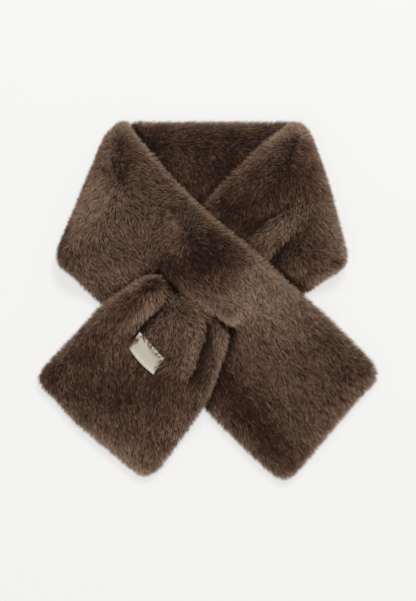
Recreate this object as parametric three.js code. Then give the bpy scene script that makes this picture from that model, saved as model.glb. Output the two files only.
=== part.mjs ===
// A plush pull-through collar wrap, laid flat and seen from above.
// One long strap of fur fabric, two plies thick, is folded over at both ends of its neck stretch.
// Its left end lies down to the right. Its right end passes under that, comes up through
// a lengthwise slit in it and spreads out to the lower left.
// Millimetres, +Z up, X to the right and Y towards the back of the neck.

import * as THREE from 'three';
import { mergeVertices } from 'three/addons/utils/BufferGeometryUtils.js';

// Driving dimensions
const strapThickness = 19; // two plies of backing with their pile
const neckTop = 188; // upper edge of the neck stretch, in Y
const strapWidth = 153; // edge to edge, pile included
const neckBottom = neckTop - strapWidth;
const layerGap = 0.8; // between layers that lie on each other
const seamGap = 0.3; // between pieces that are sewn together
const cornerRadius = 15; // of the two free ends, seen from above
const edgeRound = strapThickness / 2;
const fallSlope = 0.7; // steepest that a layer falls away over an edge
const easePasses = 10; // times that a draped layer's slopes are smoothed,
const easeShare = 0.7; // and how far towards their neighbours each time
const slitSlope = 1.6; // the same where an end is pulled up through the slit
const looseSlope = 0.45; // and past the slit, where that end lies loose
const clearance = layerGap + 0.5; // a draped layer's height over what it lies on

// How finely the faces follow the form
const roundShares = [0, 0.07, 0.28, 0.6, 1]; // places on a rounded edge, as shares of its radius
const lipShares = [1, 0.5, 0.15, 0]; // the same at the slit strap's middle line
const stepsAcross = { neck: 9, under: 12, pulled: 14, half: 5 };
const stepsAlong = { neck: 14, fold: 7, under: 4, front: 5, pulled: 4 };

// Places of the folds: each axis runs from the neck's upper edge to its lower edge.
// A fold is drawn in at its two ends, and the right one bulges out between them.
const foldDrawnIn = 0.5;
const foldDrawnRun = 26;
const leftFold = {
  bulge: 0,
  neck: { upper: [-82, neckTop], lower: [-145, neckBottom] },
  front: { upper: [-84, 183], lower: [-147, 30] },
};
const rightFold = {
  bulge: 0.2,
  neck: { upper: [82.5, neckTop], lower: [131.5, neckBottom] },
  front: { upper: [84, 183], lower: [134, 28] },
};

// Sections of each strap, from its fold to its end: the point on the upper edge,
// the point on the lower edge and, on the slit strap, the point on its middle line
const frontSections = [
  { upper: leftFold.front.upper, middle: [-115.5, 106.5], lower: leftFold.front.lower },
  { upper: [-58, 152], middle: [-94, 83], lower: [-131, 13] },
  { upper: [-28, 119], middle: [-72, 58], lower: [-116, -2] },
  { upper: [2, 89], middle: [-51, 34], lower: [-101, -17] },
  { upper: [41, 58], middle: [-11, -1], lower: [-66, -52] },
  { upper: [74, 28], middle: [28, -29], lower: [-35, -83] },
  { upper: [109, -1], middle: [57, -61], lower: [4, -122] },
  { upper: [146, -36], middle: [94, -98], lower: [42, -160] },
  { upper: [184, -73], middle: [132, -135], lower: [80, -197] },
];
const slitFrom = 3; // the slit runs between these two sections
const slitTo = 5;

const underSections = [
  { upper: rightFold.front.upper, lower: rightFold.front.lower },
  { upper: [58, 165], lower: [121, 18] },
  { upper: [32, 140], lower: [102, 6] },
  { upper: [3, 110], lower: [80, -1] },
  { upper: [-22, 78], lower: [54, -6] },
  { upper: [-38, 36], lower: [25, -13] },
];

const pulledSections = [
  { upper: [-38, 36], lower: [25, -13] },
  { upper: [-46, 27], lower: [19, -21] },
  { upper: [-66, 25], lower: [21, -32] },
  { upper: [-88, 11], lower: [20, -46] },
  { upper: [-113, -6], lower: [13, -68] },
  { upper: [-134, -27], lower: [1, -98] },
  { upper: [-156, -51], lower: [-22, -136] },
  { upper: [-181, -81], lower: [-65, -191] },
];

// Creases pressed into the top of a strap: their line, depth and half width.
// Each fades out over the last part of its length.
const creaseFade = { from: 0.6, to: 1.1 };
const underCreases = [
  { line: [[99, 103], [86, 100], [71, 91], [43, 66], [20, 46]], depth: 8, reach: 8 },
  { line: [[91, 69], [78, 56], [63, 45], [45, 32]], depth: 8, reach: 8 },
];
const pulledCreases = [
  { line: [[-35, 7], [-58, -13], [-81, -31]], depth: 10, reach: 9 },
  { line: [[-5, -6], [-2, -27], [-5, -47], [-11, -80], [-19, -94]], depth: 10, reach: 9 },
];

const endBow = 5; // the pulled end's edge bows out by this much, from this section on
const bowFrom = 5;

// Woven label: its place, its turn in degrees, and how deep it lies in the pile
const label = { centre: [-62, -56.5], turn: -47.5, length: 39, width: 21, thickness: 1 };
const labelSunk = 5;
const seatMargin = 9;
const labelLift = 0.6;


const slitOpening = 15; // how far the hidden lower lip stands back from the upper one
const lipWall = 0.3; // share of the thickness left upright at the slit's lips
const lipRun = 13; // length over which a lip parts from its neighbour at the slit's ends
const slopeReach = 16; // half the run of the slope between the front strap's two halves

const plushBrown = new THREE.MeshStandardMaterial({ color: 0x4d392c, roughness: 0.95, metalness: 0 });
const labelIvory = new THREE.MeshStandardMaterial({ color: 0xddd3bd, roughness: 0.8, metalness: 0 });

const mix = THREE.MathUtils.lerp;
const rising = THREE.MathUtils.smoothstep;
const falling = (value, from, to) => 1 - rising(value, from, to);
const xy = ([x, y]) => new THREE.Vector3(x, y, 0);
const quarterRound = (run, radius) => Math.sqrt(1 - (1 - Math.min(run / radius, 1)) ** 2);

// Height of what already lies on the table, kept on a square grid
class Heap {
  static cell = 3;
  static half = 219;
  static count = (2 * Heap.half) / Heap.cell + 1;

  constructor(heights = new Float32Array(Heap.count ** 2)) {
    this.heights = heights;
  }

  static place(value) {
    return (value + Heap.half) / Heap.cell;
  }

  // Adds the top faces of a laid strap
  add(rows) {
    const raised = new Heap(this.heights.slice());
    for (let i = 0; i + 1 < rows.length; i++) {
      for (let j = 0; j + 1 < rows[i].top.length; j++) {
        const [a, b] = rows[i].top.slice(j, j + 2);
        const [d, c] = rows[i + 1].top.slice(j, j + 2);
        raised.addTriangle(a, b, c);
        raised.addTriangle(a, c, d);
      }
    }
    return raised;
  }

  addTriangle(a, b, c) {
    const area = (b.x - a.x) * (c.y - a.y) - (c.x - a.x) * (b.y - a.y);
    if (Math.abs(area) < 1e-6) return;
    const columns = [a, b, c].map((point) => Heap.place(point.x));
    const lines = [a, b, c].map((point) => Heap.place(point.y));
    const margin = 1e-3;
    for (let row = Math.ceil(Math.min(...lines)); row <= Math.max(...lines); row++) {
      for (let column = Math.ceil(Math.min(...columns)); column <= Math.max(...columns); column++) {
        const x = column * Heap.cell - Heap.half;
        const y = row * Heap.cell - Heap.half;
        const shareB = ((x - a.x) * (c.y - a.y) - (c.x - a.x) * (y - a.y)) / area;
        const shareC = ((b.x - a.x) * (y - a.y) - (x - a.x) * (b.y - a.y)) / area;
        if (shareB < -margin || shareC < -margin || shareB + shareC > 1 + margin) continue;
        const z = a.z + shareB * (b.z - a.z) + shareC * (c.z - a.z);
        const index = row * Heap.count + column;
        this.heights[index] = Math.max(this.heights[index], z);
      }
    }
  }

  // The heap with its steps eased, as the layer laid on it hangs: widened by one cell, lifted
  // clear where there is cloth, falling no steeper than the slope, and then smoothed
  draped(slope = fallSlope) {
    const { count, cell } = Heap;
    let eased = new Float32Array(count ** 2);
    const steps = [-1, 0, 1];
    for (let row = 1; row < count - 1; row++) {
      for (let column = 1; column < count - 1; column++) {
        const near = steps.flatMap((r) => steps.map((c) => this.heights[(row + r) * count + column + c]));
        const highest = Math.max(...near);
        eased[row * count + column] = highest > 0 ? highest + clearance : 0;
      }
    }
    const lowest = eased.slice();
    const forward = [[-1, 0], [0, -1], [-1, -1], [-1, 1]];
    const sweep = (rows, columns, sign) => {
      for (const row of rows) {
        for (const column of columns) {
          for (const [r, c] of forward) {
            const other = (row + sign * r) * count + column + sign * c;
            const drop = slope * cell * Math.hypot(r, c);
            const index = row * count + column;
            eased[index] = Math.max(eased[index], eased[other] - drop);
          }
        }
      }
    };
    const inner = Array.from({ length: count - 2 }, (_, index) => index + 1);
    sweep(inner, inner, 1);
    sweep(inner.toReversed(), inner.toReversed(), -1);
    for (let pass = 0; pass < easePasses; pass++) {
      eased = eased.map((height, i) => {
        const around = (eased[i - 1] + eased[i + 1] + eased[i - count] + eased[i + count]) / 4;
        return Math.max(lowest[i], mix(height, around, easeShare) || 0);
      });
    }
    return new Heap(eased);
  }

  at(x, y) {
    const column = Math.floor(Heap.place(x));
    const row = Math.floor(Heap.place(y));
    const across = Heap.place(x) - column;
    const up = Heap.place(y) - row;
    const height = (r, c) => this.heights[(row + r) * Heap.count + column + c];
    return mix(mix(height(0, 0), height(0, 1), across), mix(height(1, 0), height(1, 1), across), up);
  }
}

// How far a crease presses the top in at a point
function creaseDepth(creases, x, y) {
  let depth = 0;
  for (const crease of creases) {
    const nearest = new THREE.Vector3();
    let distance = Infinity;
    let along = 0;
    const point = new THREE.Vector3(x, y, 0);
    const pieces = crease.line.length - 1;
    for (let i = 0; i < pieces; i++) {
      const piece = new THREE.Line3(xy(crease.line[i]), xy(crease.line[i + 1]));
      const share = piece.closestPointToPointParameter(point, true);
      piece.at(share, nearest);
      if (nearest.distanceTo(point) < distance) {
        distance = nearest.distanceTo(point);
        along = (i + share) / pieces;
      }
    }
    const fade = falling(along, creaseFade.from, creaseFade.to);
    depth = Math.max(depth, crease.depth * fade * Math.exp(-((distance / crease.reach) ** 2)));
  }
  return depth;
}

// The shallow seat that the label lies in
function labelSeat(x, y) {
  const turned = new THREE.Vector2(x - label.centre[0], y - label.centre[1]);
  turned.rotateAround(new THREE.Vector2(), -THREE.MathUtils.degToRad(label.turn));
  const inside = (run, half) => falling(Math.abs(run), half + 1, half + seatMargin);
  return labelSunk * inside(turned.x, label.length / 2) * inside(turned.y, label.width / 2);
}

// Edge lines through the named sections; a place between two sections is a share of one
function edgeLine(sections, edge) {
  const points = sections.map((section) => xy(section[edge]));
  const curve = new THREE.CatmullRomCurve3(points, false, 'centripetal');
  return (section) => curve.getPoint(section / (sections.length - 1));
}

// The point at a run back from a line's last section
function backFrom(line, last, run) {
  const end = line(last);
  const back = line(last - 0.1).sub(end).normalize();
  return end.addScaledVector(back, run);
}

// Distances across a strap: close together at the rounded edges, even between them
const nearEdge = roundShares.map((share) => share * edgeRound);

function evenly(from, to, steps) {
  return Array.from({ length: steps - 1 }, (_, i) => mix(from, to, (i + 1) / steps));
}

function acrossStrap(evenSteps) {
  return (width) => [
    ...nearEdge,
    ...evenly(edgeRound, width - edgeRound, evenSteps),
    ...nearEdge.toReversed().map((run) => width - run),
  ];
}

// The same from one edge to the middle line of the slit strap
function acrossHalf(width) {
  const nearMiddle = lipShares.map((share) => width - share * edgeRound);
  return [...nearEdge, ...evenly(edgeRound, width - edgeRound, stepsAcross.half), ...nearMiddle];
}

function acrossBothHalves(width) {
  const half = acrossHalf(width / 2);
  return [...half, ...half.slice(0, -1).toReversed().map((run) => width - run)];
}

// Places along a strap, in sections, and the runs that round off its free end
function alongStrap(lastSection, stepsPerSection) {
  const count = Math.round(lastSection * stepsPerSection);
  return Array.from({ length: count + 1 }, (_, i) => (i * lastSection) / count);
}

const endRuns = nearEdge.slice(0, -1).toReversed();

// How far the corners draw a row in near a free end
function cornerInset(endRun) {
  return Number.isFinite(endRun) ? cornerRadius * (1 - quarterRound(endRun, cornerRadius)) : 0;
}

const still = new THREE.Vector3();

// One row of points across a strap: thickness is drawn in at its edges and its free end
function layRow({ upper, lower, runs, bottomAt, pressedAt = () => 0, endRun = Infinity, bow = still }) {
  const inset = cornerInset(endRun);
  const width = upper.distanceTo(lower) - 2 * inset;
  const direction = lower.clone().sub(upper).normalize();
  const row = { top: [], bottom: [] };
  for (const run of runs(width)) {
    const point = upper.clone().addScaledVector(direction, inset + run);
    point.addScaledVector(bow, Math.sin((Math.PI * run) / width));
    const side = quarterRound(Math.min(run, width - run), edgeRound);
    const fullness = side * quarterRound(endRun, edgeRound);
    const base = bottomAt(point.x, point.y);
    const pressed = pressedAt(point.x, point.y) * fullness;
    row.top.push(point.clone().setZ(base + (strapThickness / 2) * (1 + fullness) - pressed));
    row.bottom.push(point.clone().setZ(base + (strapThickness / 2) * (1 - fullness)));
  }
  return row;
}

// The half roll at a fold, from the neck's level up to the strap that lies over it,
// outward to the left (-1) or to the right (1)
function rollRows(fold, outward, runs) {
  const steps = stepsAlong.fold;
  const middleRadius = (strapThickness + layerGap) / 2;
  const axisHeight = strapThickness + layerGap / 2;
  return Array.from({ length: steps }, (_, step) => {
    const share = step / steps;
    const angle = Math.PI * share;
    const upper = xy(fold.neck.upper).lerp(xy(fold.front.upper), share);
    const lower = xy(fold.neck.lower).lerp(xy(fold.front.lower), share);
    const direction = lower.clone().sub(upper).normalize();
    const away = new THREE.Vector3(-direction.y, direction.x, 0).multiplyScalar(outward);
    const width = upper.distanceTo(lower);
    const row = { top: [], bottom: [] };
    for (const run of runs(width)) {
      const fullness = quarterRound(Math.min(run, width - run), edgeRound);
      const onAxis = upper.clone().addScaledVector(direction, run).setZ(axisHeight);
      const drawnIn = mix(foldDrawnIn, 1, quarterRound(Math.min(run, width - run), foldDrawnRun));
      const reach = drawnIn * (1 + fold.bulge * Math.sin((Math.PI * run) / width));
      const rolled = (radius) => {
        const point = onAxis.clone().addScaledVector(away, radius * reach * Math.sin(angle));
        return point.setZ(axisHeight - radius * Math.cos(angle));
      };
      row.top.push(rolled(middleRadius + (strapThickness / 2) * fullness));
      row.bottom.push(rolled(middleRadius - (strapThickness / 2) * fullness));
    }
    return row;
  });
}

const pointGap = 2e-3; // points nearer than this are one

// Collects triangles between rows of points and closes them into one body
class Skin {
  constructor() {
    this.points = [];
  }

  quad(a, b, c, d) {
    for (const corners of [[a, b, c], [a, c, d]]) {
      const [p, q, r] = corners;
      const shortest = Math.min(p.distanceTo(q), q.distanceTo(r), r.distanceTo(p));
      if (shortest < pointGap) continue;
      this.points.push(p, q, r);
    }
  }

  // A sheet of quads between neighbouring rows, each a list of points
  sheet(rows) {
    for (let i = 0; i + 1 < rows.length; i++) {
      for (let j = 0; j + 1 < rows[i].length; j++) {
        this.quad(rows[i][j], rows[i][j + 1], rows[i + 1][j + 1], rows[i + 1][j]);
      }
    }
  }

  // Top and bottom of a strap, with a flat face at each cut end
  strap(rows, cutAtEnd) {
    this.sheet(rows.map((row) => row.top));
    this.sheet(rows.map((row) => row.bottom.toReversed()));
    this.sheet([rows[0].bottom, rows[0].top]);
    const last = rows.at(-1);
    if (cutAtEnd) this.sheet([last.top, last.bottom]);
  }

  mesh(name, material) {
    let geometry = new THREE.BufferGeometry().setFromPoints(this.points);
    geometry = mergeVertices(geometry, pointGap);
    if (enclosedVolume(geometry) < 0) geometry.index.array.reverse();
    geometry.computeVertexNormals();
    const mesh = new THREE.Mesh(geometry, material);
    mesh.name = name;
    return mesh;
  }
}

function enclosedVolume(geometry) {
  const [a, b, c] = [new THREE.Vector3(), new THREE.Vector3(), new THREE.Vector3()];
  const { index, attributes } = geometry;
  let sum = 0;
  for (let i = 0; i < index.count; i += 3) {
    a.fromBufferAttribute(attributes.position, index.getX(i));
    b.fromBufferAttribute(attributes.position, index.getX(i + 1));
    c.fromBufferAttribute(attributes.position, index.getX(i + 2));
    sum += a.dot(b.cross(c));
  }
  return sum / 6;
}

// Neck stretch, from one fold's axis to the other's, lying on the table
function neckRows() {
  const steps = stepsAlong.neck;
  const rightwards = new THREE.Vector3(seamGap, 0, 0);
  const fromUpper = xy(leftFold.neck.upper).add(rightwards);
  const fromLower = xy(leftFold.neck.lower).add(rightwards);
  const toUpper = xy(rightFold.neck.upper).sub(rightwards);
  const toLower = xy(rightFold.neck.lower).sub(rightwards);
  return Array.from({ length: steps + 1 }, (_, step) => {
    const upper = fromUpper.clone().lerp(toUpper, step / steps);
    const lower = fromLower.clone().lerp(toLower, step / steps);
    return layRow({ upper, lower, runs: acrossStrap(stepsAcross.neck), bottomAt: () => 0 });
  });
}

const neck = neckRows();
const overNeck = new Heap().add(neck).draped();

// A strap leaves its fold at the roll's height and then lies as it is draped
const foldHeight = strapThickness + layerGap;
const offFold = (section, draped) => mix(foldHeight, draped, rising(section, 0, 1));

// Under strap, from the right fold to its seam beneath the slit's upper lip
function underRows() {
  const upperLine = edgeLine(underSections, 'upper');
  const lowerLine = edgeLine(underSections, 'lower');
  const runs = acrossStrap(stepsAcross.under);
  const laid = alongStrap(underSections.length - 1, stepsAlong.under).map((section) => layRow({
    upper: upperLine(section),
    lower: lowerLine(section),
    runs,
    bottomAt: (x, y) => offFold(section, overNeck.at(x, y)),
    pressedAt: (x, y) => creaseDepth(underCreases, x, y),
  }));
  return [...rollRows(rightFold, 1, runs), ...laid];
}

const under = underRows();
const overUnder = new Heap().add(neck).add(under).draped();

// Half of the front strap, from one edge to its middle line. Inside the slit the half ends
// in a lip: the hidden lower lip stands back, and both are drawn in towards the middle.
function frontHalf(edge, bottomAt) {
  const edgeAt = edgeLine(frontSections, edge);
  const middleAt = edgeLine(frontSections, 'middle');
  const isLower = edge === 'lower';
  const last = frontSections.length - 1;
  const slitMiddle = (slitFrom + slitTo) / 2;
  const slitStart = middleAt(slitFrom);
  const slitEnd = middleAt(slitTo);

  const halfRow = (outer, inner, section, endRun) => {
    const insetEnd = cornerInset(endRun);
    const open = section > slitFrom && section < slitTo;
    const fromEnds = open ? Math.min(inner.distanceTo(slitStart), inner.distanceTo(slitEnd)) : 0;
    const parted = rising(fromEnds, 0, lipRun);
    const direction = inner.clone().sub(outer).normalize();
    const fromEnd = 1 - Math.abs(section - slitMiddle);
    const setBack = isLower ? slitOpening * Math.sin((Math.PI / 2) * fromEnd) : 0;
    const width = outer.distanceTo(inner) - insetEnd - (open ? setBack : 0);
    const row = { top: [], bottom: [], open };
    for (const run of acrossHalf(width)) {
      const point = outer.clone().addScaledVector(direction, insetEnd + run);
      const lip = mix(1, lipWall + (1 - lipWall) * quarterRound(width - run, edgeRound), parted);
      const fullness = quarterRound(run, edgeRound) * lip * quarterRound(endRun, edgeRound);
      const base = bottomAt(point.x, point.y, width - run, section, parted);
      row.top.push(point.clone().setZ(base + (strapThickness / 2) * (1 + fullness)));
      row.bottom.push(point.clone().setZ(base + (strapThickness / 2) * (1 - fullness)));
    }
    return row;
  };

  const rows = alongStrap(last, stepsAlong.front).slice(0, -1).map((section) =>
    halfRow(edgeAt(section), middleAt(section), section, Infinity));
  const endRows = endRuns.map((run) =>
    halfRow(backFrom(edgeAt, last, run), backFrom(middleAt, last, run), last, run));
  return [...rows, ...endRows];
}

// Heights of the front strap: its lower half lies on the neck and the table, its upper half
// over the under strap as well, and the two meet in a slope where the slit doesn't part them
function lowerHalfBottom(x, y, fromMiddle, section, parted) {
  const share = rising(-fromMiddle, -slopeReach, slopeReach) * (1 - parted);
  return offFold(section, mix(overNeck.at(x, y), overUnder.at(x, y), share));
}

function upperHalfBottom(x, y, fromMiddle, section, parted) {
  const share = mix(rising(fromMiddle, -slopeReach, slopeReach), 1, parted);
  const draped = offFold(section, mix(overNeck.at(x, y), overUnder.at(x, y), share));
  return mix(draped, Math.max(draped, overRoot.at(x, y)), parted);
}

const frontLower = frontHalf('lower', lowerHalfBottom);
const laidLower = new Heap().add(neck).add(frontLower);
const nearSlit = laidLower.draped(slitSlope);
const pastSlit = laidLower.draped(looseSlope);

// Pulled end, from its seam beneath the upper lip, up over the lower lip and out to its end
function pulledRows() {
  const upperLine = edgeLine(pulledSections, 'upper');
  const lowerLine = edgeLine(pulledSections, 'lower');
  const last = pulledSections.length - 1;
  const surface = {
    runs: acrossStrap(stepsAcross.pulled),
    pressedAt: (x, y) => creaseDepth(pulledCreases, x, y) + labelSeat(x, y),
  };
  const fromSeam = upperLine(0.1).sub(upperLine(0)).setLength(seamGap);
  const outward = [upperLine, lowerLine]
    .map((line) => line(last).sub(line(bowFrom)))
    .reduce((sum, direction) => sum.add(direction));
  const laid = alongStrap(last, stepsAlong.pulled).slice(0, -1).map((section) => layRow({
    ...surface,
    bow: outward.clone().normalize().multiplyScalar(endBow * rising(section, bowFrom, last)),
    bottomAt: (x, y) => mix(nearSlit.at(x, y), pastSlit.at(x, y), rising(section, 1, 2.5)),
    upper: upperLine(section).add(fromSeam),
    lower: lowerLine(section).add(fromSeam),
  }));
  const rounded = endRuns.map((run) => layRow({
    ...surface,
    bottomAt: (x, y) => pastSlit.at(x, y),
    upper: backFrom(upperLine, last, run),
    lower: backFrom(lowerLine, last, run),
    bow: outward.clone().setLength(endBow),
    endRun: run,
  }));
  return [...laid, ...rounded];
}

const pulled = pulledRows();
const rootRowCount = 9; // rows of the pulled end that lie under the slit's upper lip
const overRoot = new Heap().add(pulled.slice(0, rootRowCount)).draped();
const frontUpper = frontHalf('upper', upperHalfBottom);

function plainStrap(name, rows, cutAtEnd) {
  const skin = new Skin();
  skin.strap(rows, cutAtEnd);
  return skin.mesh(name, plushBrown);
}

// The front strap's fold, its two halves and the walls of its slit, as one body
function frontStrap() {
  const skin = new Skin();
  const turned = frontLower.map((row) => ({
    top: row.top.toReversed(),
    bottom: row.bottom.toReversed(),
  }));
  const joined = {
    top: [...frontUpper[0].top, ...turned[0].top.slice(1)],
    bottom: [...frontUpper[0].bottom, ...turned[0].bottom.slice(1)],
  };
  skin.strap([...rollRows(leftFold, -1, acrossBothHalves), joined], false);
  for (const half of [frontUpper, turned]) {
    skin.sheet(half.map((row) => row.top));
    skin.sheet(half.map((row) => row.bottom.toReversed()));
  }
  for (let i = 0; i + 1 < frontUpper.length; i++) {
    if (!frontUpper[i].open && !frontUpper[i + 1].open) continue;
    const wall = (half) => [half[i], half[i + 1]].map((row) => [row.top.at(-1), row.bottom.at(-1)]);
    skin.sheet(wall(frontUpper));
    skin.sheet(wall(frontLower).toReversed());
  }
  return skin.mesh('front_strap', plushBrown);
}

// Woven label, made from the points of the pulled end's top beneath it, moved out
function labelMesh(carrier) {
  const lengthSteps = 10;
  const widthSteps = 6;
  const ray = new THREE.Raycaster();
  const wellAbove = 10 * strapThickness;
  const down = new THREE.Vector3(0, 0, -1);
  const turn = THREE.MathUtils.degToRad(label.turn);
  const rows = Array.from({ length: lengthSteps + 1 }, (_, i) => {
    const row = { top: [], bottom: [] };
    for (let j = 0; j <= widthSteps; j++) {
      const place = new THREE.Vector2(i / lengthSteps - 0.5, 0.5 - j / widthSteps);
      place.multiply(new THREE.Vector2(label.length, label.width));
      place.rotateAround(new THREE.Vector2(), turn).add(new THREE.Vector2(...label.centre));
      ray.set(new THREE.Vector3(place.x, place.y, wellAbove), down);
      const point = ray.intersectObject(carrier)[0].point;
      row.bottom.push(point.clone().setZ(point.z + labelLift));
      row.top.push(point.clone().setZ(point.z + labelLift + label.thickness));
    }
    return row;
  });
  const skin = new Skin();
  skin.strap(rows, true);
  skin.sheet(rows.map((row) => [row.bottom[0], row.top[0]]));
  skin.sheet(rows.map((row) => [row.top.at(-1), row.bottom.at(-1)]));
  return skin.mesh('label', labelIvory);
}

const pulledEnd = plainStrap('pulled_end', pulled, false);
const wrap = new THREE.Group();
wrap.add(plainStrap('neck_band', neck, true));
wrap.add(frontStrap());
wrap.add(plainStrap('under_strap', under, true));
wrap.add(pulledEnd);
wrap.add(labelMesh(pulledEnd));

// The origin is the middle of the footprint, on the table
const extent = new THREE.Box3().setFromObject(wrap);
const middle = extent.getCenter(new THREE.Vector3());
wrap.position.set(-middle.x, -middle.y, -extent.min.z);
wrap.updateMatrixWorld(true);

export default wrap;
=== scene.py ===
import math

import bmesh
import bpy
import numpy as np
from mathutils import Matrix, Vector
from mathutils.bvhtree import BVHTree
from mathutils.kdtree import KDTree


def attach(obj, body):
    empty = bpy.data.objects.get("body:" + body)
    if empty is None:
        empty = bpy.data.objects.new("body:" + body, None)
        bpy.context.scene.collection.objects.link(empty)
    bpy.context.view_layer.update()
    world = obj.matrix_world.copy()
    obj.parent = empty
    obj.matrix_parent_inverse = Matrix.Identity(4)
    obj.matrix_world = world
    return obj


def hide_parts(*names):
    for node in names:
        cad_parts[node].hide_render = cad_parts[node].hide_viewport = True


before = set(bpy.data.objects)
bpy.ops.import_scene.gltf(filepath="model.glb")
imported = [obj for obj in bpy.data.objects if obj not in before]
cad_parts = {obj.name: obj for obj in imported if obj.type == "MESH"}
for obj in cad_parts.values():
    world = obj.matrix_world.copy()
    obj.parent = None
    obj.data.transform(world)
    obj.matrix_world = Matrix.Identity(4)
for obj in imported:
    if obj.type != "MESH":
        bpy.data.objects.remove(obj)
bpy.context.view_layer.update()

# Sizes, in metres
MM = 0.001
SKIN_GRAIN = 4.0 * MM
PILE_DEPTH = 8.0 * MM
BACKING_WALL = 1.2 * MM
DEPTH_SHARE = 0.42
WALL_SHARE = 0.06
FLOOR_GAP = 0.3 * MM
TACK_PILE = 4.0 * MM

# The photograph's scale and middle, and how it was taken
PHOTO_WIDE, PHOTO_HIGH = 416, 601
PHOTO_SCALE = 1.05 * MM
PHOTO_MIDDLE = (-1.4604 * MM, 1.0764 * MM)
CAMERA_HEIGHT = 2.8
SIGHT_LEVEL = 25 * MM

# The pile
STRANDS = 441000
STRANDS_IN_PIECE = 92000
FIRST_SEED = 100
OPEN_DENSITY, UNDER_DENSITY, COVERED_DENSITY = 1.0, 0.3, 0.06
STRANDS_IN_CLUMP = 4
STRAND_WIDTH = 0.38 * MM
NAP_REACH = 22 * MM


def spot(across, down):
    """Where a point of the photograph lies on the floor plan, in metres."""
    return (
        PHOTO_MIDDLE[0] + (across - PHOTO_WIDE / 2) * PHOTO_SCALE,
        PHOTO_MIDDLE[1] + (PHOTO_HIGH / 2 - down) * PHOTO_SCALE,
    )


# Patches of painted light and shade on the pile: lighter or darker where the stroked nap
# would catch the light differently, and painted shadow in notches and along layer edges;
# middle, reach along and across, turn in degrees, all in the photograph's pixels, and
# how much lighter the pile is painted there
PAINTED_LIGHT_PATCHES = {
    "front_strap": (
        ((100, 205), (30, 20), 60, 0.28),
        ((122, 168), (24, 14), 45, -0.14),
        ((105, 275), (34, 12), -15, 0.14),
        ((262, 303), (44, 24), -38, 0.34),
        ((272, 276), (30, 8), -45, 0.25),
        ((206, 256), (32, 22), 30, -0.58),
        ((163, 262), (14, 12), 0, -0.32),
        ((190, 204), (16, 10), -45, 0.10),
        ((60, 240), (26, 5), 66, -0.5),
        ((94, 196), (34, 14), 65, 0.18),
        ((82, 190), (56, 5), 65, -0.28),
        ((166, 277), (10, 6), -45, -0.25),
        ((120, 130), (12, 7), 40, 0.35),
        ((142, 144), (26, 7), -45, 0.24),
        ((180, 180), (30, 6), -45, 0.30),
        ((232, 232), (40, 6), -45, 0.22),
        ((278, 478), (10, 6), 0, 0.25),
        ((228, 323), (9, 8), 0, 0.30),
        ((228, 302), (16, 10), 0, 0.25),
        ((192, 298), (13, 2), -33, -0.3),
        ((228, 405), (50, 12), -50, -0.18),
        ((222, 272), (22, 14), 0, -0.17),
        ((172, 280), (18, 10), 0, -0.15),
        ((64, 262), (22, 16), -60, -0.16),
        ((254, 414), (66, 16), -55, -0.42),
        ((330, 350), (34, 26), -45, -0.14),
        ((352, 366), (20, 12), 30, -0.12),
    ),
    "neck_band": (
        ((224, 174), (24, 28), 0, -0.24),
        ((222, 190), (14, 14), 0, -0.14),
        ((208, 123), (80, 4), 0, 0.16),
        ((140, 123), (8, 5), 0, 0.26),
    ),
    "under_strap": (
        ((276, 186), (40, 18), 40, -0.24),
        ((240, 214), (16, 20), 40, -0.32),
        ((292, 130), (16, 8), 30, 0.45),
        ((272, 143), (22, 6), 44, 0.18),
        ((240, 168), (16, 5), 42, -0.14),
        ((318, 160), (26, 9), -68, 0.20),
        ((284, 222), (20, 7), 40, 0.22),
        ((334, 225), (34, 14), 100, 0.30),
        ((340, 232), (40, 4), 103, 0.20),
        ((300, 130), (10, 8), 0, 0.16),
        ((306, 212), (18, 8), 20, 0.14),
        ((283, 152), (14, 10), 0, 0.10),
        ((324, 278), (18, 6), 32, 0.34),
        ((261, 257), (10, 8), 40, 0.25),
        ((224, 196), (16, 10), 45, -0.15),
        ((284, 252), (22, 12), 30, -0.14),
    ),
    "pulled_end": (
        ((190, 330), (18, 30), 20, 0.10),
        ((130, 388), (50, 22), 5, -0.26),
        ((84, 350), (22, 14), 40, -0.20),
        ((46, 378), (16, 14), 0, -0.28),
        ((151, 303), (22, 6), 38, 0.24),
        ((128, 308), (32, 7), 40, -0.18),
        ((170, 276), (12, 6), 20, -0.2),
        ((128, 456), (44, 16), -30, 0.24),
        ((193, 300), (12, 2.5), -33, -0.4),
        ((92, 430), (50, 6), -38, 0.15),
        ((161, 320), (12, 10), 40, 0.22),
        ((197, 345), (32, 6), 78, 0.24),
        ((207, 342), (26, 4), 78, -0.28),
        ((221, 338), (24, 5), 78, 0.20),
        ((171, 287), (8, 5), -50, -0.3),
        ((216, 378), (26, 5), 60, 0.12),
    ),
}

# Which way the tips lie at a few places of each strap: the photograph's pixels, and
# degrees on the floor plan, where -90 points down the photograph
NAP = {
    "neck_band": (
        (140, 140, -48),
        (165, 165, -60),
        (195, 175, -72),
        (215, 140, -62),
        (245, 150, -52),
        (275, 130, -60),
    ),
    "front_strap": (
        (110, 140, -38),
        (85, 200, -42),
        (68, 250, -62),
        (110, 270, -30),
        (150, 200, -48),
        (160, 268, -50),
        (205, 245, -35),
        (235, 300, -58),
        (300, 330, -48),
        (250, 380, -64),
        (295, 400, -54),
        (350, 375, -48),
        (280, 455, -48),
    ),
    "under_strap": (
        (270, 150, -120),
        (310, 160, -96),
        (290, 190, -95),
        (335, 200, -70),
        (292, 140, -108),
        (280, 225, -125),
        (320, 245, -42),
        (300, 275, -40),
    ),
    "pulled_end": (
        (70, 370, -50),
        (110, 330, -72),
        (160, 300, -75),
        (194, 299, 50),
        (140, 335, -118),
        (185, 330, -88),
        (205, 350, -97),
        (222, 350, -98),
        (110, 390, -82),
        (90, 430, -72),
        (150, 450, -88),
        (185, 400, -92),
    ),
}
# How light each strap's pile is painted: one plush in lighter and darker copies, as painted
# light and shade
STRAP_PAINTED_LIGHT = {
    "neck_band": 0.34,
    "front_strap": 0.56,
    "under_strap": 0.42,
    "pulled_end": 0.46,
}
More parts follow.
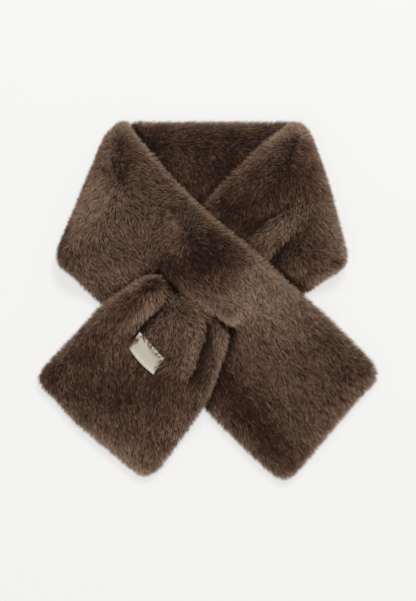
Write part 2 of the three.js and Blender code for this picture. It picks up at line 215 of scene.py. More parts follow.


# Folds added to a strap's top side: the line in the photograph's pixels, with
# the raised side on its left as it runs, then in metres how far that side rises, the
# other drops, how wide the fold is and how far it laps over
FOLDS = {
    "pulled_end": (
        (((225, 321), (208, 309), (190, 296), (172, 281)), 14 * MM, 0, 13 * MM, 1 * MM),
        (
            ((128, 336), (136, 325), (150, 311), (166, 298)),
            4 * MM, 6 * MM, 11 * MM, 2.5 * MM,
        ),
        (
            ((183, 386), (190, 366), (197, 342), (201, 328), (201, 312)),
            7 * MM,
            8 * MM,
            12 * MM,
            4 * MM,
        ),
        (((170, 366), (158, 352), (146, 338), (138, 328)), 3.5 * MM, 0, 8 * MM, 2 * MM),
    ),
    "under_strap": (
        (((291, 206), (270, 221), (250, 238)), 5 * MM, 3 * MM, 12 * MM, 1 * MM),
        (((262, 264), (277, 247), (298, 226)), 3 * MM, 3 * MM, 12 * MM, 1 * MM),
    ),
}

# Where a strap's edge is drawn out from its solid: middle in pixels, reach, and how
# far to the photograph's right and up, in metres
DRAWN_OUT = {
    "pulled_end": (
        (42, 380, 26 * MM, -3 * MM, -2 * MM),
        (76, 414, 24 * MM, -1.5 * MM, -1.8 * MM),
        (78, 332, 26 * MM, 1.3 * MM, -1.3 * MM),
        (200, 410, 36 * MM, 1.5 * MM, -1 * MM),
        (160, 462, 26 * MM, 1.2 * MM, -1.5 * MM),
    ),
    "under_strap": (
        (338, 225, 30 * MM, -1.5 * MM, 0),
        (304, 126, 10 * MM, 1 * MM, -1 * MM),
        (320, 284, 18 * MM, -0.5 * MM, 1.6 * MM),
    ),
    "front_strap": (
        (113, 127, 12 * MM, 1.2 * MM, -1.2 * MM),
        (281, 480, 14 * MM, 0, 2 * MM),
        (372, 360, 14 * MM, -1.6 * MM, 0.4 * MM),
        (240, 408, 40 * MM, -0.8 * MM, -0.8 * MM),
        (374, 380, 20 * MM, 1.2 * MM, -1.5 * MM),
        (66, 255, 26 * MM, -1.2 * MM, -0.6 * MM),
    ),
}

# The tacks that close the slit's two ends under the pile: middle in pixels, height
# and half sizes
SLIT_TACKS = (
    (165, 275, 27 * MM, (11 * MM, 11 * MM, 13 * MM)),
    (229, 324, 13 * MM, (12 * MM, 10 * MM, 12 * MM)),
    (214, 322, 14 * MM, (12 * MM, 12 * MM, 9 * MM)),
)

# Where the pile stands longer or shorter: strap, middle in pixels, reach and share
LONGER = {
    "neck_band": ((284, 127, 8 * MM, 0.3),),
    "front_strap": (
        (178, 289, 8 * MM, 0.35),
        (191, 299, 9 * MM, 0.35),
        (205, 309, 9 * MM, 0.35),
        (228, 323, 8 * MM, 0.2),
    ),
    "pulled_end": (
        (150, 341, 8 * MM, 0.2),
        (184, 295, 8 * MM, 0.4),
        (200, 306, 8 * MM, 0.4),
    ),
}


# Shaping


def beside(points, places):
    """From a line of photograph pixels: each place's distance on the floor plan, its
    side, how far along it is, and the way to the line's left."""
    line = np.array([spot(*point) for point in points])
    runs = np.linalg.norm(np.diff(line, axis=0), axis=1)
    done = np.concatenate([[0], np.cumsum(runs)]) / runs.sum()
    gap = np.full(len(places), np.inf)
    side, along = np.zeros(len(places)), np.zeros(len(places))
    left = np.zeros((len(places), 2))
    for k, run in enumerate(runs):
        way = (line[k + 1] - line[k]) / run
        off = places[:, :2] - line[k]
        t = np.clip(off @ way, 0, run)
        away = np.linalg.norm(off - t[:, None] * way, axis=1)
        near = away < gap
        turn = way[0] * off[:, 1] - way[1] * off[:, 0]
        gap[near] = away[near]
        side[near] = np.sign(turn[near])
        along[near] = (done[k] + t / run * (done[k + 1] - done[k]))[near]
        left[near] = (-way[1], way[0])
    return gap, side, along, left


def rising(low, high, values):
    """0 up to low, 1 from high, and smooth between them."""
    share = np.clip((values - low) / (high - low), 0, 1)
    return share * share * (3 - 2 * share)


def unit(vectors):
    return vectors / np.maximum(np.linalg.norm(vectors, axis=-1, keepdims=True), 1e-12)


def evened(values, edges, rounds):
    """Each value moved to the mean of its neighbours', round after round."""
    ends = np.concatenate([edges, edges[:, ::-1]])
    count = np.maximum(np.bincount(ends[:, 0], minlength=len(values)), 1)
    for _ in range(rounds):
        columns = np.atleast_2d(values.T)
        means = [
            np.bincount(ends[:, 0], column[ends[:, 1]], len(values)) / count
            for column in columns
        ]
        values = np.stack(means, -1).reshape(values.shape)
    return values


def normals_of(places, faces):
    a, b, c = places[faces].transpose(1, 0, 2)
    turned = np.cross(b - a, c - a)
    found = [
        sum(np.bincount(faces[:, k], turned[:, axis], len(places)) for k in range(3))
        for axis in range(3)
    ]
    return unit(np.stack(found, -1))


def mesh_of(name, places, faces, uv=None):
    """A smooth-shaded mesh object from rows of places and of three corners a face."""
    mesh = bpy.data.meshes.new(name)
    mesh.vertices.add(len(places))
    mesh.vertices.foreach_set("co", np.asarray(places, np.float32).ravel())
    mesh.loops.add(len(faces) * 3)
    mesh.loops.foreach_set("vertex_index", np.asarray(faces, np.int32).ravel())
    mesh.polygons.add(len(faces))
    mesh.polygons.foreach_set(
        "loop_start", np.arange(0, len(faces) * 3, 3, dtype=np.int32)
    )
    if uv is not None:
        layer = mesh.uv_layers.new(name="OFBake", do_init=False)
        layer.uv.foreach_set("vector", np.asarray(uv, np.float32)[faces].ravel())
    mesh.update(calc_edges=True)
    mesh.shade_smooth()
    piece = bpy.data.objects.new(name, mesh)
    bpy.context.scene.collection.objects.link(piece)
    return piece


def fine_skin(node):
    """A node's form in small even faces: places, triangles and edges."""
    mesh = node.data.copy()
    work = bmesh.new()
    work.from_mesh(mesh)
    bmesh.ops.remove_doubles(work, verts=work.verts, dist=0.01 * MM)
    work.to_mesh(mesh)
    work.free()
    piece = bpy.data.objects.new("skin", mesh)
    bpy.context.scene.collection.objects.link(piece)
    remesh = piece.modifiers.new("even", "REMESH")
    remesh.mode = "VOXEL"
    remesh.voxel_size = SKIN_GRAIN
    seen = bpy.context.evaluated_depsgraph_get()
    fine = bpy.data.meshes.new_from_object(piece.evaluated_get(seen))
    fine.calc_loop_triangles()
    places = np.empty(len(fine.vertices) * 3)
    faces = np.empty(len(fine.loop_triangles) * 3, np.int32)
    edges = np.empty(len(fine.edges) * 2, np.int32)
    fine.vertices.foreach_get("co", places)
    fine.loop_triangles.foreach_get("vertices", faces)
    fine.edges.foreach_get("vertices", edges)
    bpy.data.objects.remove(piece)
    for spare in (mesh, fine):
        bpy.data.meshes.remove(spare)
    places, faces, edges = (
        x.reshape(-1, w)
        for x, w in ((places, 3), (faces, 3), (edges, 2))
    )
    return evened(places, edges, 3), faces, edges


def tree_of(*skins):
    places, faces, start = [], [], 0
    for skin_places, skin_faces in skins:
        places.append(skin_places)
        faces.append(skin_faces + start)
        start += len(skin_places)
    return BVHTree.FromPolygons(
        np.concatenate(places).tolist(), np.concatenate(faces).tolist()
    )


def reaches(tree, starts, ways, limit):
    """How far each ray runs before it meets the tree, at most limit."""
    found = np.full(len(starts), float(limit))
    for k, (start, way) in enumerate(zip(starts.tolist(), ways.tolist())):
        hit = tree.ray_cast(start, way, limit)
        if hit[0] is not None:
            found[k] = hit[3]
    return found


def rounded(middle, halves):
    """A small rounded form as places, triangles and edges."""
    work = bmesh.new()
    bmesh.ops.create_icosphere(work, subdivisions=3, radius=1)
    places = np.array([v.co for v in work.verts]) * halves + middle
    faces = np.array([[v.index for v in f.verts] for f in work.faces])
    edges = np.array([[v.index for v in e.verts] for e in work.edges])
    work.free()
    return places, faces, edges


class Strap:
    """One length of the plush tube: a fine skin on its solid, and how deep under it the
    backing lies."""

    def __init__(self, name):
        self.name = name
        self.places, self.faces, self.edges = fine_skin(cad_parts[name])
        self.normals = normals_of(self.places, self.faces)
        self.fold()
        self.normals = normals_of(self.places, self.faces)
        self.calm = evened(self.normals, self.edges, 3)
        inward = reaches(
            tree_of((self.places, self.faces)),
            self.places - self.normals * 0.5 * MM,
            -self.normals,
            60 * MM,
        )
        thickness = evened(inward + 0.5 * MM, self.edges, 2)
        self.depth = evened(
            np.minimum(PILE_DEPTH, DEPTH_SHARE * thickness), self.edges, 4
        )
        self.wall = np.minimum(BACKING_WALL, WALL_SHARE * thickness)
        if name == "front_strap":
            for across, down, height, halves in SLIT_TACKS:
                self.take(*rounded((*spot(across, down), height), halves))

    def fold(self):
        """Lays in the folds: one side of each line rises and laps over, and the other
        drops, with a painted highlight on each crest and painted shade in each valley."""
        for across, down, reach, east, north in DRAWN_OUT.get(self.name, ()):
            off = self.places[:, :2] - spot(across, down)
            pull = np.exp(-(off**2).sum(1) / reach**2)
            self.places[:, :2] += pull[:, None] * (east, north)
        self.fold_light_and_shade = np.zeros(len(self.places))
        for points, rise, drop, reach, lap in FOLDS.get(self.name, ()):
            gap, side, along, left = beside(points, self.places)
            hold = rising(0, 0.2, along) * (1 - rising(0.8, 1, along))
            hold *= rising(0, 0.5, self.normals[:, 2])
            crest = hold * (side > 0) * np.exp(-((gap / reach) ** 2))
            valley = hold * (side <= 0) * np.exp(-((1.6 * gap / reach) ** 2))
            self.places[:, 2] += rise * crest - drop * valley
            self.places[:, :2] -= left * (lap * crest)[:, None]
            # Painted highlight on the crests, painted shade in the valleys that drop
            self.fold_light_and_shade += 0.2 * crest - 0.45 * valley * (drop > 0)

    def take(self, places, faces, edges):
        """Adds a small form to the skin."""
        self.faces = np.concatenate([self.faces, faces + len(self.places)])
        self.edges = np.concatenate([self.edges, edges + len(self.places)])
        self.places = np.concatenate([self.places, places])
        self.normals = normals_of(self.places, self.faces)
        self.calm = evened(self.normals, self.edges, 3)
        more = len(places)
        self.depth = np.append(self.depth, np.full(more, TACK_PILE))
        self.wall = np.append(self.wall, np.full(more, BACKING_WALL / 2))
        self.fold_light_and_shade = np.append(self.fold_light_and_shade, np.zeros(more))

    def look_around(self, others):
        """Marks what another layer covers and what lies on the floor, how much sky the
        straps hide from each place, which paints shade and shortens strands, and how far
        each place turns from facing up, which paints a highlight on the rims.
        """
        apart = tree_of(*((s.places, s.faces) for s in straps if s is not self))
        out = reaches(
            apart, self.places + self.normals * 1.5 * MM, self.normals, 8 * MM
        )
        self.covered = evened((out < 7.9 * MM).astype(float), self.edges, 1)
        # How much sky the straps hide from each place: painted shade in the pile, and
        # shorter strands
        occlusion = np.zeros(len(self.places))
        sky = [
            (math.radians(15 + 45 * turn + 20 * ring), math.radians(rise))
            for ring, rise in enumerate((20, 45, 70))
            for turn in range(8)
        ]
        for turn, rise in sky:
            way = (
                math.cos(turn) * math.cos(rise),
                math.sin(turn) * math.cos(rise),
                math.sin(rise),
            )
            ways = np.broadcast_to(way, self.places.shape)
            open_way = reaches(
                others, self.places + self.normals * 1.0 * MM, ways, 40 * MM
            )
            occlusion += 1 - open_way / (40 * MM)
        self.occlusion = evened(occlusion / len(sky), self.edges, 2)
        # How far each place turns from facing up: a painted highlight on the rims
        self.rim_highlight_mask = 1 - evened(self.normals[:, 2], self.edges, 10)
        self.under = rising(0.15, 0.7, -self.normals[:, 2])
        near = evened(self.normals, self.edges, 8)[:, :2]
        self.rim = evened(near, self.edges, 72)
        nap = nap_turn(self.name, self.places[:, 0], self.places[:, 1])
        behind = -np.cos(nap) * near[:, 0] - np.sin(nap) * near[:, 1]
        density = OPEN_DENSITY * (1 + 0.8 * rising(0, 0.8, behind))
        density += (UNDER_DENSITY - density) * self.under
        self.density = density + (COVERED_DENSITY - density) * self.covered
        a, b, c = self.places[self.faces].transpose(1, 0, 2)
        area = np.linalg.norm(np.cross(b - a, c - a), axis=1) / 2
        self.share = area * self.density[self.faces].mean(1)

    def backing(self):
        """The knitted backing as a hollow tube with a wall of real thickness."""
        outer = self.places - self.calm * self.depth[:, None]
        inner = outer - self.calm * self.wall[:, None]
        flipped = self.faces[:, ::-1] + len(outer)
        return mesh_of(
            f"{self.name}_backing",
            np.concatenate([outer, inner]),
            np.concatenate([self.faces, flipped]),
        )


straps = [
    Strap(name) for name in ("neck_band", "under_strap", "front_strap", "pulled_end")
]


# The label


LABEL_MIDDLE = (-62.8 * MM + PHOTO_MIDDLE[0], -57.2 * MM + PHOTO_MIDDLE[1])
LABEL_TURN = math.radians(-47.5)
LABEL_LONG, LABEL_WIDE, LABEL_THICK = 38 * MM, 20 * MM, 0.8 * MM
LABEL_SKEW, LABEL_LIFT = 5 * MM, -1.6 * MM
LABEL_ROWS, LABEL_COLUMNS = 42, 64
LABEL_HEM = 3.2 * MM
LABEL_BULGE = 2.0 * MM


def on_label(places):
    """How far places lie along and across the label from its middle, as it was cut."""
    x, y = places[:, 0] - LABEL_MIDDLE[0], places[:, 1] - LABEL_MIDDLE[1]
    cos, sin = math.cos(LABEL_TURN), math.sin(LABEL_TURN)
    across = y * cos - x * sin
    along = x * cos + y * sin + LABEL_SKEW * (across / LABEL_WIDE + 0.5)
    bulge = LABEL_BULGE * np.cos(np.clip(along / LABEL_LONG, -0.5, 0.5) * math.pi)
    return along, (across + 0.5 * bulge) / (1 + bulge / LABEL_WIDE)


def label_mesh(carrier):
    """The woven label, laid in the pile of the strap that carries it: a cloth with a
    top, an underside and a rim, and a hem folded along its lower side."""
    shape = (LABEL_ROWS + 1, LABEL_COLUMNS + 1)
    b = np.linspace(-0.5, 0.5, shape[0])[:, None] * LABEL_WIDE + np.zeros(shape)
    a = np.linspace(-0.5, 0.5, shape[1]) * LABEL_LONG + np.zeros(shape)
    skewed = a - LABEL_SKEW * (b / LABEL_WIDE + 0.5)
    bulged = b - LABEL_BULGE * np.cos(a / LABEL_LONG * math.pi) * (0.5 - b / LABEL_WIDE)
    cos, sin = math.cos(LABEL_TURN), math.sin(LABEL_TURN)
    x = LABEL_MIDDLE[0] + skewed * cos - bulged * sin
    y = LABEL_MIDDLE[1] + skewed * sin + bulged * cos
    ground = tree_of((carrier.places, carrier.faces))
    z = np.array(
        [ground.ray_cast((p, q, 0.2), (0, 0, -1))[0].z for p, q in zip(x.flat, y.flat)]
    ).reshape(shape)
    for _ in range(60):
        held = np.pad(z, 1, mode="edge")
        z = (held[:-2, 1:-1] + held[2:, 1:-1] + held[1:-1, :-2] + held[1:-1, 2:]) / 4
    low_side = b + LABEL_WIDE / 2
    hem = rising(LABEL_HEM + 0.5 * MM, LABEL_HEM - 0.3 * MM, low_side)
    seam = np.exp(-(((low_side - LABEL_HEM) / (0.5 * MM)) ** 2))
    pucker = np.sin(a / LABEL_LONG * 31) * np.exp(-low_side / (4 * MM))
    edge = np.minimum(LABEL_LONG / 2 - np.abs(a), LABEL_WIDE / 2 - np.abs(b))
    z += LABEL_LIFT + 0.5 * MM * hem - 0.4 * MM * seam + 0.25 * MM * pucker
    z -= 0.5 * MM * np.exp(-edge / (0.5 * MM))
    z += 0.6 * MM * np.cos(a / LABEL_LONG * 5 + 0.6) * np.cos(b / LABEL_WIDE * 3)
    top = np.stack([x, y, z], -1).reshape(-1, 3)
    index = np.arange(len(top)).reshape(LABEL_ROWS + 1, LABEL_COLUMNS + 1)
    p, q = index[:-1, :-1].ravel(), index[:-1, 1:].ravel()
    r, s = index[1:, 1:].ravel(), index[1:, :-1].ravel()
    faces = np.concatenate([np.stack([p, q, r], 1), np.stack([p, r, s], 1)])
    rim = np.concatenate([index[0, :-1], index[:-1, -1], index[-1, :0:-1], index[:0:-1, 0]])
    after = np.roll(rim, -1)
    low = len(top)
    sides = np.concatenate(
        [
            np.stack([rim, rim + low, after], 1),
            np.stack([after, rim + low, after + low], 1),
        ]
    )
    under = top - (0, 0, LABEL_THICK)
    return mesh_of(
        "label_woven",
        np.concatenate([top, under]),
        np.concatenate([faces, faces[:, ::-1] + low, sides]),
    )


# The pile


def painted_light_shift(name, x, y):
    """How much lighter or darker the patches paint the pile: painted light and shade of the
    stroked nap, and painted shadow in notches and along edges.
    """
    shift = np.zeros(len(x))
    for middle, reach, turn, lighter in PAINTED_LIGHT_PATCHES[name]:
        dx, dy = x - spot(*middle)[0], y - spot(*middle)[1]
        cos, sin = math.cos(math.radians(turn)), math.sin(math.radians(turn))
        along = (dx * cos + dy * sin) / (reach[0] * PHOTO_SCALE)
        across = (dy * cos - dx * sin) / (reach[1] * PHOTO_SCALE)
        shift += lighter * np.exp(-(along**2 + across**2) / 1.2)
    return shift


def nap_turn(name, x, y):
    """Which way the tips lie on the floor plan, in radians, from the named places round
    about."""
    total = np.zeros((2, len(x)))
    for across, down, degrees in NAP[name]:
        dx, dy = x - spot(across, down)[0], y - spot(across, down)[1]
        near = np.exp(-(dx * dx + dy * dy) / (2 * NAP_REACH**2)) + 1e-6
        turn = math.radians(degrees)
        total += near * np.array([[math.cos(turn)], [math.sin(turn)]])
    return np.arctan2(total[1], total[0])


def sway(x, y, grain, rng):
    """A slow wave over the floor plan, from about -1 to 1."""
    total = np.zeros(len(x))
    for _ in range(6):
        turn, phase = rng.uniform(0, 2 * math.pi, 2)
        pitch = 2 * math.pi / (grain * rng.uniform(0.7, 1.4))
        total += np.sin((x * math.cos(turn) + y * math.sin(turn)) * pitch + phase)
    return total / 2.5


def nearest_clump(places, centres):
    tree = KDTree(len(centres))
    for k, place in enumerate(places[centres].tolist()):
        tree.insert(place, k)
    tree.balance()
    return np.array([tree.find(place)[1] for place in places.tolist()])


def pile_rows(strap, count, rng):
    """The strands of one strap: four places each, root, two middles and tip, and each
    strand's tone."""
    bars = np.cumsum(strap.share)
    picks = (np.arange(count) + rng.random(count)) / count * bars[-1]
    face = np.minimum(np.searchsorted(bars, picks), len(bars) - 1)
    root, turn = np.sqrt(rng.random(count)), rng.random(count)
    weights = np.stack([1 - root, root * (1 - turn), root * turn], 1)
    corners = strap.faces[face]

    def there(values):
        if values.ndim == 1:
            return (values[corners] * weights).sum(1)
        return (values[corners] * weights[:, :, None]).sum(1)

    place, normal, inset, rim = (
        there(v) for v in (strap.places, strap.normals, strap.calm, strap.rim)
    )
    normal = unit(normal)
    depth, covered, under, occlusion, rim_highlight_mask, fold_light_and_shade = (
        there(values)
        for values in (
            strap.depth,
            strap.covered,
            strap.under,
            strap.occlusion,
            strap.rim_highlight_mask,
            strap.fold_light_and_shade,
        )
    )
    if strap.name == "pulled_end":
        along, across = on_label(place)
        clear = (
            (np.abs(along) < LABEL_LONG / 2 - 0.5 * MM)
            & (np.abs(across) < LABEL_WIDE / 2 - 0.5 * MM)
            & (normal[:, 2] > 0)
        )
        keep = ~clear
        place, normal, inset, rim, depth, covered, under, occlusion, rim_highlight_mask, fold_light_and_shade = (
            v[keep]
            for v in (
                place, normal, inset, rim, depth, covered, under, occlusion, rim_highlight_mask, fold_light_and_shade
            )
        )
        count = len(place)
    centres = rng.permutation(count)[: count // STRANDS_IN_CLUMP]
    clump = nearest_clump(place, centres)
    own = rng.normal(size=(4, count))
    shared = rng.normal(size=(4, len(centres)))[:, clump]

    x, y = place[:, 0], place[:, 1]
    side_on = 1 - np.abs(normal[:, 2])
    swing = nap_turn(strap.name, x, y) + np.radians(
        10 * sway(x, y, 50 * MM, rng)
        + 9 * sway(x, y, 14 * MM, rng)
        + 13 * shared[0]
        + 12 * own[0]
    )
    way = np.stack([np.cos(swing), np.sin(swing), np.zeros(count)], 1)
    edge = unit(rim)
    against = np.minimum(0, (way[:, :2] * edge).sum(1))
    against *= rising(0.0, 0.2, np.linalg.norm(rim, axis=1)) * (1 - under)
    way[:, :2] -= 1.05 * against[:, None] * edge
    way = unit(way)
    over = np.zeros(count)
    if strap.name == "pulled_end":
        along, across = on_label(place)
        past = np.maximum(np.abs(along) - LABEL_LONG / 2, np.abs(across) - LABEL_WIDE / 2)
        over = np.exp(-((past / (4 * MM)) ** 2)) * rising(-6 * MM, 3 * MM, across)
        inward = unit(np.array(LABEL_MIDDLE) - place[:, :2])
        way[:, :2] += 2.4 * inward * over[:, None]
    firm = np.minimum(np.linalg.norm(way, axis=1), 1)
    way = unit(way)
    stand = unit(inset)
    way -= (way * stand).sum(1)[:, None] * stand
    lean = np.radians(
        (34 + 6 * shared[1] + 7 * own[1])
        * (1 - 0.3 * side_on)
        * firm
        + 24 * under
        + 20 * over
    )
    long = depth * (1.30 + 0.07 * shared[2] + 0.08 * own[2]) * (1 - 0.2 * covered)
    long *= (1 + 0.22 * side_on) * (1 - 0.35 * occlusion)
    for across, down, reach, more in LONGER.get(strap.name, ()):
        off = (x - spot(across, down)[0]) ** 2 + (y - spot(across, down)[1]) ** 2
        long *= 1 + more * np.exp(-off / reach**2)

    def towards(angle):
        return unit(stand * np.cos(angle)[:, None] + way * np.sin(angle)[:, None])

    start = place - inset * depth[:, None]
    middle = start + towards(lean * 0.6) * (long * 0.5)[:, None]
    tip = middle + towards(lean * 1.35) * (long * 0.5)[:, None]
    gathered = tip[centres][clump]
    tip += (gathered - tip) * (0.34 * (1 - 0.5 * under))[:, None]
    for row in (middle, tip):
        row[:, 2] = np.maximum(row[:, 2], FLOOR_GAP)
    side = unit(np.cross(tip - start, stand) + rng.normal(size=(count, 3)) * 0.25 * MM)
    roll = np.radians(35) * own[3]
    face_on = unit(np.cross(side, tip - start))
    side = side * np.cos(roll)[:, None] + face_on * np.sin(roll)[:, None]
    width = STRAND_WIDTH * (1 + 0.5 * under) * rng.uniform(0.75, 1.25, count)
    half = side * width[:, None] / 2
    rows = np.stack([start, middle - half, middle + half, tip], 1)
    # Each strand's tone: the strap's painted lightness, painted light and shade of the
    # stroked nap, a painted highlight on rims, painted shade where the straps hide the sky,
    # painted light and shade of the folds, and tone that differs at random
    tone = (
        STRAP_PAINTED_LIGHT[strap.name]
        + painted_light_shift(strap.name, x, y) * (1 - under)
        + 0.34 * rising(0.12, 0.8, rim_highlight_mask) * (1 - under)
        - 0.8 * rising(0.06, 0.5, occlusion)
        + fold_light_and_shade
        + 0.15 * shared[3]
        + 0.24 * own[2]
        + 0.05 * sway(x, y, 30 * MM, rng)
    )
    return rows, np.clip(tone, 0.03, 0.97)


def pile_piece(name, rows, tone):
    """One mesh of strands, with the map that its colour follows: tone across and root
    to tip upwards."""
    corner = np.arange(len(rows))[:, None] * 4
    faces = np.concatenate([corner + (0, 1, 2), corner + (1, 3, 2)])
    spread = np.array([0, -0.012, 0.012, 0])
    up = np.array([0.01, 0.5, 0.5, 0.99])
    uv = np.stack([tone[:, None] + spread, np.broadcast_to(up, (len(rows), 4))], -1)
    return mesh_of(name, rows.reshape(-1, 3), faces, uv.reshape(-1, 2))


# Finishes


class Number:
    """A shader socket that Python's own signs work on."""

    def __init__(self, finish, socket):
        self.finish, self.socket = finish, socket

    def _with(self, operation, first, second):
        made = self.finish.node(
            "ShaderNodeMath", {"operation": operation}, {0: first, 1: second}
        )
        return Number(self.finish, made.outputs[0])

    def __add__(self, other):
        return self._with("ADD", self, other)

    def __sub__(self, other):
        return self._with("SUBTRACT", self, other)

    def __rsub__(self, other):
        return self._with("SUBTRACT", other, self)

    def __mul__(self, other):
        return self._with("MULTIPLY", self, other)

    __radd__ = __add__
    __rmul__ = __mul__


class Finish:
    """A material as it is made up, node by node."""

    def __init__(self, name):
        self.material = bpy.data.materials.new(name)
        self.material.use_nodes = True
        self.tree = self.material.node_tree
        self.tree.nodes.clear()

    def node(self, kind, settings=None, sockets=None):
        made = self.tree.nodes.new(kind)
        for name, value in (settings or {}).items():
            if name == "stops":
                stops = made.color_ramp.elements
                while len(stops) < len(value):
                    stops.new(1.0)
                for stop, (at, colour) in zip(stops, value):
                    stop.position, stop.color = at, (*colour, 1)
            else:
                setattr(made, name, value)
        for name, value in (sockets or {}).items():
            value = value.socket if isinstance(value, Number) else value
            if isinstance(value, bpy.types.NodeSocket):
                self.tree.links.new(value, made.inputs[name])
            else:
                made.inputs[name].default_value = value
        return made

    def mixed(self, blend, factor, first, second):
        made = self.node(
            "ShaderNodeMix",
            {"data_type": "RGBA", "blend_type": blend},
            {0: factor, 6: first, 7: second},
        )
        return made.outputs[2]

    def surface(self, sockets):
        shader = self.node("ShaderNodeBsdfPrincipled", None, sockets)
        self.node("ShaderNodeOutputMaterial", None, {"Surface": shader.outputs[0]})
        return self.material


def plush_finish():
    """Dark roots to light tips, partly the fibre's own tipping and partly painted shade
    deep in the pile, and the whole strand darker or lighter with its tone, which
    carries painted light and shade."""
    finish = Finish("brown_plush")
    seen = finish.node("ShaderNodeUVMap", {"uv_map": "OFBake"})
    parts = finish.node("ShaderNodeSeparateXYZ", None, {0: seen.outputs[0]})
    strand = finish.node(
        "ShaderNodeValToRGB",
        {
            "stops": (
                (0.0, (0.02, 0.015, 0.012)),
                (0.5, (0.16, 0.12, 0.10)),
                (0.78, (0.46, 0.40, 0.36)),
                (1.0, (1.16, 1.05, 0.96)),
            )
        },
        {0: parts.outputs[1]},
    )
    # Tone to colour: the plush's own brown, and the painted light and shade that the tone
    # carries
    dye_and_painted_light = finish.node(
        "ShaderNodeValToRGB",
        {
            "stops": (
                (0.0, (0.034, 0.0135, 0.008)),
                (0.25, (0.100, 0.048, 0.029)),
                (0.5, (0.245, 0.140, 0.090)),
                (0.75, (0.44, 0.300, 0.212)),
                (1.0, (0.70, 0.56, 0.43)),
            )
        },
        {0: parts.outputs[0]},
    )
    colour = finish.mixed("MULTIPLY", 1.0, strand.outputs[0], dye_and_painted_light.outputs[0])
    return finish.surface(
        {
            "Base Color": colour,
            "Roughness": 0.75,
            "Sheen Weight": 0.06,
            "Sheen Roughness": 0.5,
            "Sheen Tint": (0.9, 0.75, 0.62, 1),
            "Specular IOR Level": 0.12,
        }
    )


def backing_finish():
    """The near-black knit that the pile stands in."""
    finish = Finish("knit_backing")
    spot_on = finish.node("ShaderNodeTexCoord").outputs["Object"]
    ribs = finish.node(
        "ShaderNodeTexWave",
        {"wave_type": "BANDS", "bands_direction": "DIAGONAL"},
        {"Vector": spot_on, "Scale": 240.0, "Distortion": 1.5, "Detail": 1.0},
    )
    fuzz = finish.node(
        "ShaderNodeTexNoise", None, {"Vector": spot_on, "Scale": 900.0, "Detail": 2.0}
    )
    rib, grain = Number(finish, ribs.outputs[1]), Number(finish, fuzz.outputs[0])
    height = rib * 0.6 + grain * 0.4
    colour = finish.mixed(
        "MIX", height.socket, (0.012, 0.007, 0.005, 1), (0.035, 0.022, 0.016, 1)
    )
    bump = finish.node(
        "ShaderNodeBump", None, {"Strength": 0.5, "Distance": 0.0005, "Height": height}
    )
    return finish.surface(
        {
            "Base Color": colour,
            "Roughness": 0.95,
            "Specular IOR Level": 0.05,
            "Normal": bump.outputs[0],
        }
    )


def label_finish():
    """Ivory woven satin: fine ribs along it and finer ones across."""
    finish = Finish("ivory_weave")
    spot_on = finish.node("ShaderNodeTexCoord").outputs["Object"]
    turned = finish.node(
        "ShaderNodeMapping",
        {"vector_type": "POINT"},
        {"Vector": spot_on, "Rotation": (0, 0, -LABEL_TURN)},
    ).outputs[0]
    ribs = [
        finish.node(
            "ShaderNodeTexWave",
            {"wave_type": "BANDS", "bands_direction": direction},
            {"Vector": turned, "Scale": scale, "Distortion": 0.2},
        ).outputs[1]
        for direction, scale in (("X", 700.0), ("Y", 420.0))
    ]
    height = Number(finish, ribs[0]) * 0.4 + Number(finish, ribs[1]) * 0.6
    colour = finish.mixed(
        "MIX", height.socket, (0.34, 0.31, 0.245, 1), (0.50, 0.465, 0.385, 1)
    )
    bump = finish.node(
        "ShaderNodeBump", None, {"Strength": 0.35, "Distance": 0.0002, "Height": height}
    )
    return finish.surface(
        {"Base Color": colour, "Roughness": 0.5, "Normal": bump.outputs[0]}
    )


plush, backing, ivory = plush_finish(), backing_finish(), label_finish()

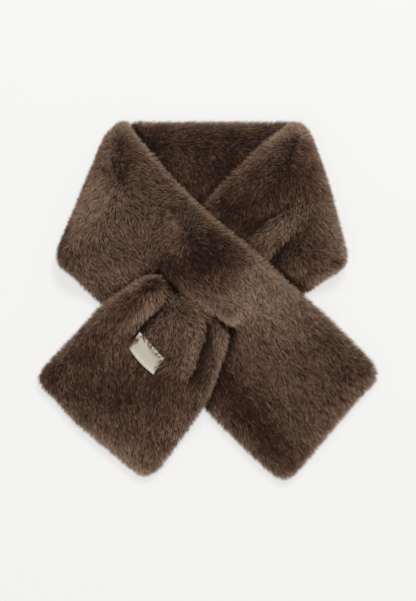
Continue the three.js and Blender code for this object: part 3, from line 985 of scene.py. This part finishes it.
# Each strap's pile and backing, in place of its solid
everything = tree_of(*((strap.places, strap.faces) for strap in straps))
for strap in straps:
    strap.look_around(everything)
total = sum(strap.share.sum() for strap in straps)
for number, strap in enumerate(straps):
    rng = np.random.default_rng(FIRST_SEED + number)
    count = int(STRANDS * strap.share.sum() / total)
    rows, tone = pile_rows(strap, count, rng)
    order = np.argsort(rows[:, 0, 0] - rows[:, 0, 1], kind="stable")
    parts = np.array_split(order, math.ceil(len(order) / STRANDS_IN_PIECE))
    tube = strap.backing()
    tube.data.materials.append(backing)
    for k, part in enumerate(parts, 1):
        piece = pile_piece(f"{strap.name}_pile_{k}", rows[part], tone[part])
        piece.data.materials.append(plush)
        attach(piece, "root")
    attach(tube, "root")
    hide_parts(strap.name)

label = label_mesh(straps[-1])
label.data.materials.append(ivory)
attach(label, "root")
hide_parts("label")

# The floor, the light and the camera
FLOOR_REACH = 4.0
FLOOR_GLOW = 0.72
ROOM_LIGHT = 0.38
FILM_HIGH = 24

floor = mesh_of(
    "floor",
    FLOOR_REACH * np.array([(-1, -1, 0), (1, -1, 0), (1, 1, 0), (-1, 1, 0)], float),
    np.array([(0, 1, 2), (0, 2, 3)]),
)
floor.data.materials.append(
    Finish("pale_floor").surface(
        {
            "Base Color": (0.12, 0.12, 0.118, 1),
            "Roughness": 0.9,
            "Emission Color": (1.0, 0.992, 0.975, 1),
            "Emission Strength": FLOOR_GLOW,
        }
    )
)


def soft_box(name, place, size, watts):
    light = bpy.data.lights.new(name, "AREA")
    light.shape, light.size, light.energy = "DISK", size, watts
    lamp = bpy.data.objects.new(name, light)
    bpy.context.scene.collection.objects.link(lamp)
    lamp.location = place
    lamp.rotation_euler = (-Vector(place)).to_track_quat("-Z", "Y").to_euler()


soft_box("key", (0.35, 1.2, 2.1), 0.8, 62)
soft_box("fill", (-0.5, -0.7, 2.2), 1.6, 14)

bpy.context.scene.view_settings.view_transform = "Standard"
world = bpy.data.worlds.new("studio")
bpy.context.scene.world = world
world.use_nodes = True
room = world.node_tree.nodes["Background"]
room.inputs["Color"].default_value = (1, 1, 1, 1)
room.inputs["Strength"].default_value = ROOM_LIGHT

lens = bpy.data.cameras.new("camera")
lens.sensor_fit = "VERTICAL"
lens.sensor_height = FILM_HIGH
lens.lens = FILM_HIGH * (CAMERA_HEIGHT - SIGHT_LEVEL) / (PHOTO_HIGH * PHOTO_SCALE)
camera = bpy.data.objects.new("camera", lens)
bpy.context.scene.collection.objects.link(camera)
camera.location = (*PHOTO_MIDDLE, CAMERA_HEIGHT)
bpy.context.scene.camera = camera

bpy.context.view_layer.update()
